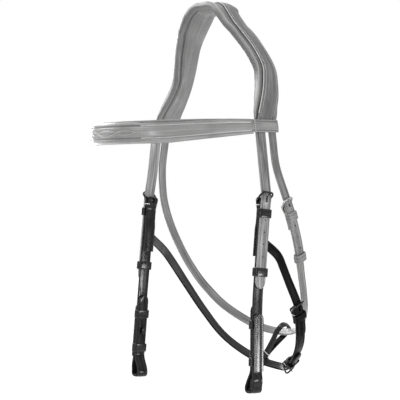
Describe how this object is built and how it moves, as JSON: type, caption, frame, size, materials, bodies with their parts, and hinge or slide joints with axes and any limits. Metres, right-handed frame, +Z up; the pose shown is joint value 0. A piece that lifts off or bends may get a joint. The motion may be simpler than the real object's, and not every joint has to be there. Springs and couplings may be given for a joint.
{
  "type": "hackamore bridle headstall",
  "caption": "Padded anatomical bitless bridle with hackamore cheekpieces, browband, throat latch and buckled jaw strap, as worn.",
  "frame": {"origin": "underside of the crown pad, where it rests on the horse's poll", "axes": "+Z up, -Y the way the horse faces, +X to the horse's left"},
  "size_m": [0.2375, 0.2903, 0.4577],
  "materials": {
    "grey_leather": "smooth semi-matt grained leather",
    "grey_lining": "soft matt padded leather",
    "black_leather": "smooth semi-gloss leather",
    "dark_metal": "polished dark plated steel",
    "grey_metal": "polished plated steel"
  },
  "bodies": {
    "headpiece": {"crown_pad": "grey_lining", "crown_strap": "grey_leather", "left_cheek_billet": "grey_leather", "left_cheek_strap": "black_leather", "left_cheek_panel": "black_leather", "left_upper_keeper": "black_leather", "left_tail_keeper": "black_leather", "left_low_keeper": "black_leather", "left_cheek_frame": "dark_metal", "left_hook_stud": "dark_metal", "right_cheek_billet": "grey_leather", "right_cheek_strap": "black_leather", "right_cheek_panel": "black_leather", "right_upper_keeper": "black_leather", "right_tail_keeper": "black_leather", "right_low_keeper": "black_leather", "right_cheek_frame": "dark_metal", "right_hook_stud": "dark_metal", "left_throat_billet": "grey_leather", "throat_strap": "grey_leather", "throat_keeper": "grey_leather", "throat_frame": "grey_metal", "jaw_centre_strap": "black_leather", "left_jaw_strap": "black_leather", "right_jaw_strap": "black_leather", "left_jaw_keeper": "black_leather", "right_jaw_keeper": "black_leather", "left_jaw_frame": "dark_metal", "right_jaw_frame": "dark_metal"},
    "browband": {"browband_strap": "grey_leather", "browband_front": "grey_leather"},
    "left_cheek_prong": {"left_cheek_prong": "dark_metal"},
    "right_cheek_prong": {"right_cheek_prong": "dark_metal"},
    "throat_prong": {"throat_prong": "grey_metal"},
    "left_jaw_prong": {"left_jaw_prong": "dark_metal"},
    "right_jaw_prong": {"right_jaw_prong": "dark_metal"},
    "left_cheek_runner": {"left_cheek_runner": "black_leather"},
    "right_cheek_runner": {"right_cheek_runner": "black_leather"},
    "throat_runner": {"throat_runner": "grey_leather"},
    "connector": {"connector_loop": "black_leather"}
  },
  "joints": [
    {"name": "browband_slide", "type": "slide", "parent": "headpiece", "child": "browband", "axis": [0, 0, -1], "range_m": [0, 0.004]},
    {"name": "left_cheek_prong_hinge", "type": "hinge", "parent": "headpiece", "child": "left_cheek_prong", "pos_m": [0.1032, -0.014, -0.22802], "axis": [0, 0.9951, -0.0987], "range_deg": [0, 12]},
    {"name": "right_cheek_prong_hinge", "type": "hinge", "parent": "headpiece", "child": "right_cheek_prong", "pos_m": [-0.1032, -0.014, -0.22802], "axis": [0, -0.9951, 0.0987], "range_deg": [0, 12]},
    {"name": "throat_prong_hinge", "type": "hinge", "parent": "headpiece", "child": "throat_prong", "pos_m": [0.11123, 0.01572, -0.23436], "axis": [0, 0.9366, 0.3505], "range_deg": [0, 12]},
    {"name": "left_jaw_prong_hinge", "type": "hinge", "parent": "headpiece", "child": "left_jaw_prong", "pos_m": [0.08946, 0.05147, -0.35547], "axis": [0.1305, 0.8569, 0.4988], "range_deg": [0, 12]},
    {"name": "right_jaw_prong_hinge", "type": "hinge", "parent": "headpiece", "child": "right_jaw_prong", "pos_m": [0.02389, 0.09983, -0.42797], "axis": [-0.1115, -0.7971, -0.5934], "range_deg": [0, 12]},
    {"name": "left_cheek_runner_slide", "type": "slide", "parent": "headpiece", "child": "left_cheek_runner", "axis": [0.0086, -0.0987, -0.9951], "range_m": [-0.008, 0.008]},
    {"name": "right_cheek_runner_slide", "type": "slide", "parent": "headpiece", "child": "right_cheek_runner", "axis": [-0.0086, -0.0987, -0.9951], "range_m": [-0.008, 0.008]},
    {"name": "throat_runner_slide", "type": "slide", "parent": "headpiece", "child": "throat_runner", "axis": [-0.2409, 0.3936, -0.8871], "range_m": [-0.005, 0.005]},
    {"name": "connector_slide", "type": "slide", "parent": "headpiece", "child": "connector", "axis": [0.9633, 0.1983, -0.1812], "range_m": [-0.003, 0.003]}
  ]
}
